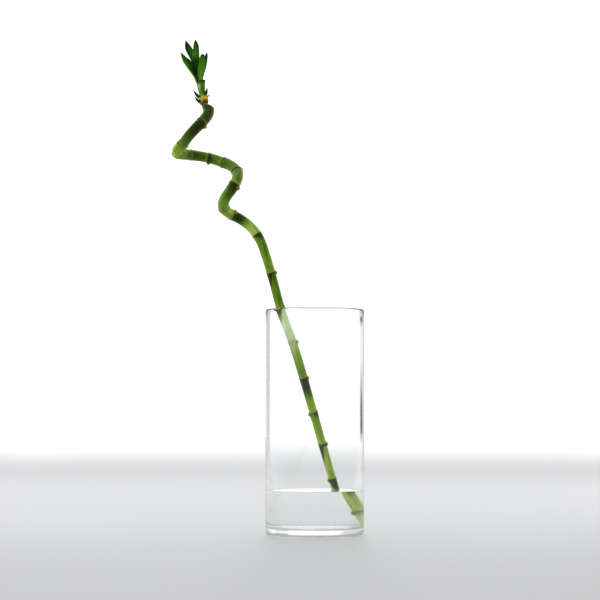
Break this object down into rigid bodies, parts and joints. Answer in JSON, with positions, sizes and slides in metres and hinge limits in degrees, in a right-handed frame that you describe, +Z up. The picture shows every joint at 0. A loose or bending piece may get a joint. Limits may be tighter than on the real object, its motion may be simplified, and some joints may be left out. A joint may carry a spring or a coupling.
{
  "type": "lucky bamboo in a glass vase",
  "caption": "Spiral lucky bamboo cane with a young leafy shoot on top, leaning in a clear glass cylinder vase with shallow water.",
  "frame": {"origin": "centre of the vase's foot, on the surface that it stands on", "axes": "+Z up along the vase's axis; +Y away from the viewer of the picture; the cane leans towards -X"},
  "size_m": [0.1927, 0.124, 0.4943],
  "materials": {
    "clear_glass": "clear, polished",
    "clear_water": "clear, still surface",
    "cane_green": "waxy, semi-gloss, darker just below each ring",
    "shoot_green": "waxy, semi-gloss, yellow at the collar",
    "leaf_green": "waxy, semi-gloss, dark green"
  },
  "bodies": {
    "root": {"vase": "clear_glass", "water": "clear_water", "cane": "cane_green", "shoot": "shoot_green", "leaf_centre_tall": "leaf_green", "leaf_right_front": "leaf_green", "leaf_left_low": "leaf_green", "leaf_left_tall": "leaf_green", "leaf_right_rear": "leaf_green"}
  },
  "joints": []
}
